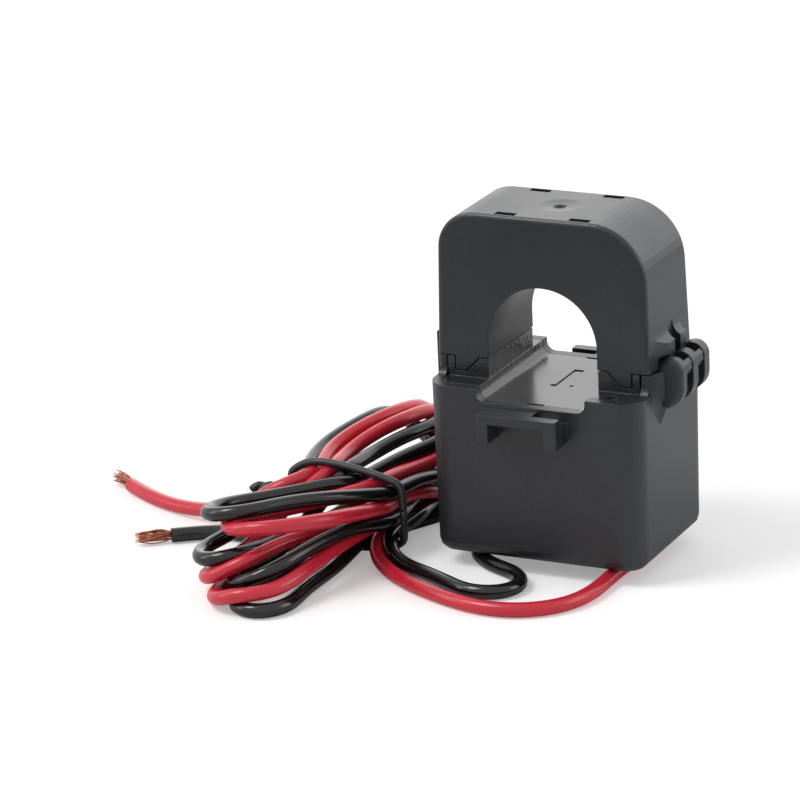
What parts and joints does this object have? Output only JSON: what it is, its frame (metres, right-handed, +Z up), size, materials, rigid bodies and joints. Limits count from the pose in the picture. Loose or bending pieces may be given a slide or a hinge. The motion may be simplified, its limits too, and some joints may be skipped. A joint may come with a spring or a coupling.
{
  "type": "split-core current transformer",
  "caption": "Split-core current transformer with a hinged upper shell that closes over a conductor, a deep lower housing, tie brackets and hanked secondary leads.",
  "frame": {"origin": "centre of the round-topped conductor window, midway between its front and rear mouths", "axes": "+Z up, towards the hinged upper shell; +Y along the conductor, from the front to the rear; +X towards the hinge"},
  "size_m": [0.1409, 0.0915, 0.0741],
  "materials": {
    "black_moulding": "moulded PC/ABS with a fine spark-eroded texture",
    "insert_moulding": "moulded PC/ABS, satin on the tray and coarse glossy grain on the towers",
    "core_steel": "wound silicon steel strip, cut and ground at the poles",
    "spring_steel": "rolled spring steel",
    "bobbin_nylon": "natural moulded nylon",
    "enamelled_copper": "enamelled copper wire, layer wound",
    "tape": "polyester film tape",
    "sleeving": "shrunk polyolefin sleeving",
    "red_insulation": "extruded soft PVC",
    "black_insulation": "extruded soft PVC",
    "bare_copper": "bare stranded copper, slightly dulled",
    "tie_coating": "plastic-coated wire"
  },
  "bodies": {
    "housing": {"lower_housing": "black_moulding", "core_carrier": "insert_moulding", "lower_core": "core_steel", "bobbin": "bobbin_nylon", "secondary_winding": "enamelled_copper", "winding_tape": "tape", "red_sleeve": "sleeving", "black_sleeve": "sleeving", "red_lead": "red_insulation", "black_lead": "black_insulation", "lead_hank": "black_insulation", "red_tail": "red_insulation", "black_tail": "black_insulation", "red_strands": "bare_copper", "black_strands": "bare_copper", "twist_tie": "tie_coating"},
    "lid": {"upper_shell": "black_moulding", "core_holder": "insert_moulding", "upper_core": "core_steel", "core_spring": "spring_steel"}
  },
  "joints": [
    {"name": "lid_hinge", "type": "hinge", "parent": "housing", "child": "lid", "pos_m": [0.0261, 0, -0.0042], "axis": [0, 1, 0], "range_deg": [0, 105]}
  ]
}
